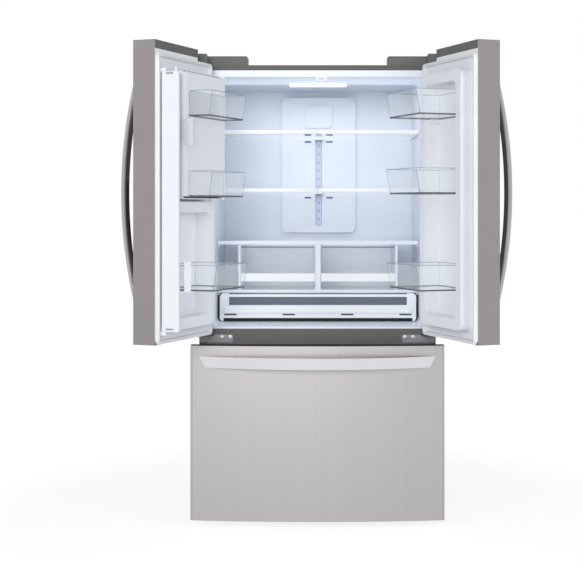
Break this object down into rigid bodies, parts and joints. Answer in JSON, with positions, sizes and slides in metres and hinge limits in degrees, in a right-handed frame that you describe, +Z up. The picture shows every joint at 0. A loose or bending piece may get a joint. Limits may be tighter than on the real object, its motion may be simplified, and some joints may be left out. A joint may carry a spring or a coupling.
{
  "type": "french-door refrigerator",
  "caption": "Free-standing French-door refrigerator with open upper doors, clear door bins, glass shelves and a bottom freezer drawer.",
  "frame": {"origin": "on the floor, under the middle of the whole part with its upper doors open", "axes": "+X to the right seen from the front, +Y to the back, +Z up"},
  "size_m": [1.3068, 1.1862, 1.694],
  "materials": {
    "stainless": "fine brushed stainless sheet",
    "handle_metal": "polished bar",
    "cabinet_paint": "dark grey textured paint",
    "zinc_steel": "zinc-plated steel",
    "compressor_paint": "black enamel",
    "foam": "rigid polyurethane foam between the walls",
    "white_liner": "white moulded liner",
    "clear_plastic": "clear moulded plastic",
    "dark_plastic": "dark grey moulded plastic",
    "cover_plastic": "grey moulded plastic",
    "gasket": "white magnetic seal",
    "shelf_glass": "tempered glass with a white moulded trim",
    "lamp": "frosted lamp cover"
  },
  "bodies": {
    "cabinet": {"cabinet_wrapper": "cabinet_paint", "rear_panel": "cabinet_paint", "base_pan": "zinc_steel", "foam_insulation": "foam", "fresh_food_liner": "white_liner", "freezer_liner": "white_liner", "mullion_rail": "cabinet_paint", "toe_grille": "dark_plastic", "levelling_feet": "dark_plastic", "compressor": "compressor_paint", "machine_cover": "zinc_steel", "air_duct_cover": "white_liner", "ceiling_lamp": "lamp", "mullion_guide": "white_liner", "left_top_hinge": "zinc_steel", "right_top_hinge": "zinc_steel", "left_hinge_cover": "cover_plastic", "right_hinge_cover": "cover_plastic", "left_lower_hinge": "zinc_steel", "right_lower_hinge": "zinc_steel", "upper_shelf_left": "shelf_glass", "upper_shelf_right": "shelf_glass", "middle_shelf_left": "shelf_glass", "middle_shelf_right": "shelf_glass", "crisper_cover": "white_liner", "pantry_cover": "white_liner", "freezer_slides": "zinc_steel"},
    "left_door": {"left_door_skin": "stainless", "left_door_liner": "white_liner", "left_door_gasket": "gasket", "left_door_caps": "dark_plastic", "left_door_handle": "handle_metal", "left_lower_bin": "clear_plastic", "ice_housing": "white_liner", "ice_bin": "clear_plastic", "dispenser_housing": "dark_plastic"},
    "folding_mullion": {"folding_mullion": "white_liner"},
    "ice_door": {"ice_door_panel": "white_liner", "ice_door_bins": "clear_plastic"},
    "ice_latch": {"ice_latch": "white_liner"},
    "dispenser_paddle": {"dispenser_paddle": "dark_plastic"},
    "right_door": {"right_door_skin": "stainless", "right_door_liner": "white_liner", "right_door_gasket": "gasket", "right_door_caps": "dark_plastic", "right_door_handle": "handle_metal", "right_upper_bin": "clear_plastic", "right_middle_bin": "clear_plastic", "right_lower_bin": "clear_plastic"},
    "freezer_drawer": {"drawer_skin": "stainless", "drawer_liner": "white_liner", "drawer_gasket": "gasket", "drawer_cap": "dark_plastic", "drawer_handle": "handle_metal", "freezer_basket": "white_liner", "drawer_runners": "zinc_steel"},
    "freezer_tray": {"freezer_tray": "clear_plastic"},
    "left_crisper": {"left_crisper": "clear_plastic"},
    "right_crisper": {"right_crisper": "clear_plastic"},
    "pantry_drawer": {"pantry_drawer": "white_liner"}
  },
  "joints": [
    {"name": "left_door_hinge", "type": "hinge", "parent": "cabinet", "child": "left_door", "pos_m": [-0.42, -0.17892, 0], "axis": [0, 0, -1], "range_deg": [-110.4, 0]},
    {"name": "right_door_hinge", "type": "hinge", "parent": "cabinet", "child": "right_door", "pos_m": [0.42, -0.17892, 0], "axis": [0, 0, 1], "range_deg": [-110.4, 0]},
    {"name": "folding_mullion_hinge", "type": "hinge", "parent": "left_door", "child": "folding_mullion", "pos_m": [-0.49947, -0.56759, 0], "axis": [0, 0, 1], "range_deg": [-90, 0]},
    {"name": "ice_door_hinge", "type": "hinge", "parent": "left_door", "child": "ice_door", "pos_m": [-0.33112, -0.27385, 0], "axis": [0, 0, 1], "range_deg": [0, 90]},
    {"name": "ice_latch_pivot", "type": "hinge", "parent": "ice_door", "child": "ice_latch", "pos_m": [-0.42903, -0.56008, 1.391], "axis": [0.3486, 0.9373, 0], "range_deg": [0, 12], "stiffness_Nm_per_rad": 0.5},
    {"name": "dispenser_paddle_pivot", "type": "hinge", "parent": "left_door", "child": "dispenser_paddle", "pos_m": [-0.49373, -0.35421, 1.0996], "axis": [-0.3486, -0.9373, 0], "range_deg": [0, 10], "stiffness_Nm_per_rad": 0.8},
    {"name": "freezer_drawer_slide", "type": "slide", "parent": "cabinet", "child": "freezer_drawer", "axis": [0, -1, 0], "range_m": [0, 0.4]},
    {"name": "freezer_tray_slide", "type": "slide", "parent": "freezer_drawer", "child": "freezer_tray", "axis": [0, 1, 0], "range_m": [0, 0.185]},
    {"name": "left_crisper_slide", "type": "slide", "parent": "cabinet", "child": "left_crisper", "axis": [0, -1, 0], "range_m": [0, 0.28]},
    {"name": "right_crisper_slide", "type": "slide", "parent": "cabinet", "child": "right_crisper", "axis": [0, -1, 0], "range_m": [0, 0.28]},
    {"name": "pantry_drawer_slide", "type": "slide", "parent": "cabinet", "child": "pantry_drawer", "axis": [0, -1, 0], "range_m": [0, 0.28]}
  ],
  "couplings": [
    {"joint": "folding_mullion_hinge", "follows": "left_door_hinge", "ratio": 0.81522}
  ]
}
